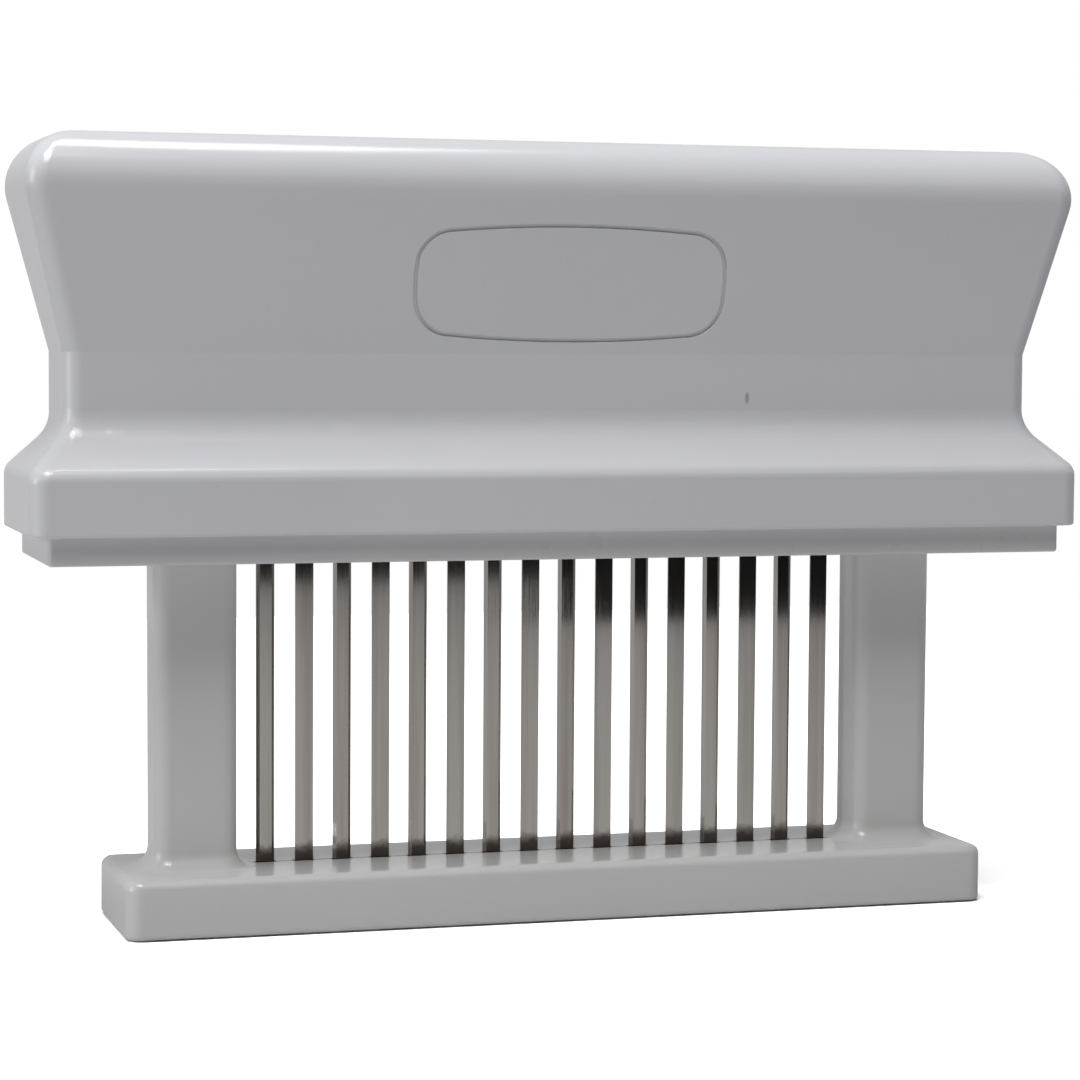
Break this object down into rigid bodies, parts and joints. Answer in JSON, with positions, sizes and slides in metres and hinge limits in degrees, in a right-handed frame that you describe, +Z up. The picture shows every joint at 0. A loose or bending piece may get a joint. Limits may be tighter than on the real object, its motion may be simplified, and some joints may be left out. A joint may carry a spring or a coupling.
{
  "type": "blade_meat_tenderizer",
  "caption": "Hand-held meat tenderizer: a flared hollow handle holds a row of flat upright blades, which pass through a slotted foot bar on two sprung sliding columns.",
  "frame": {"origin": "centre of the flat sole of the foot bar", "axes": "+X along the row of blades, +Y to the rear, away from the engraved front, +Z up from the foot to the grip"},
  "size_m": [0.14, 0.0284, 0.1007],
  "materials": {
    "housing_plastic": "glossy, with a faint mould texture",
    "plate_plastic": "satin",
    "foot_plastic": "semi-gloss, slightly milky",
    "carrier_plastic": "matte",
    "rivet_metal": "satin",
    "blade_steel": "ground lengthwise",
    "clip_steel": "stamped",
    "spring_steel": "drawn wire"
  },
  "bodies": {
    "handle": {"handle_housing": "housing_plastic", "closure_plate": "plate_plastic", "carrier_front": "carrier_plastic", "carrier_rear": "carrier_plastic", "carrier_rivets": "rivet_metal", "spring_left": "spring_steel", "spring_right": "spring_steel", "blade_01": "blade_steel", "blade_02": "blade_steel", "blade_03": "blade_steel", "blade_04": "blade_steel", "blade_05": "blade_steel", "blade_06": "blade_steel", "blade_07": "blade_steel", "blade_08": "blade_steel", "blade_09": "blade_steel", "blade_10": "blade_steel", "blade_11": "blade_steel", "blade_12": "blade_steel", "blade_13": "blade_steel", "blade_14": "blade_steel", "blade_15": "blade_steel", "blade_16": "blade_steel"},
    "foot": {"foot_with_columns": "foot_plastic", "column_clip_left": "clip_steel", "column_clip_right": "clip_steel"}
  },
  "joints": [
    {"name": "foot_slide", "type": "slide", "parent": "handle", "child": "foot", "axis": [0, 0, 1], "range_m": [0, 0.0365], "stiffness_N_per_m": 600, "springref_m": -0.01, "deforming": ["spring_left", "spring_right"]}
  ]
}
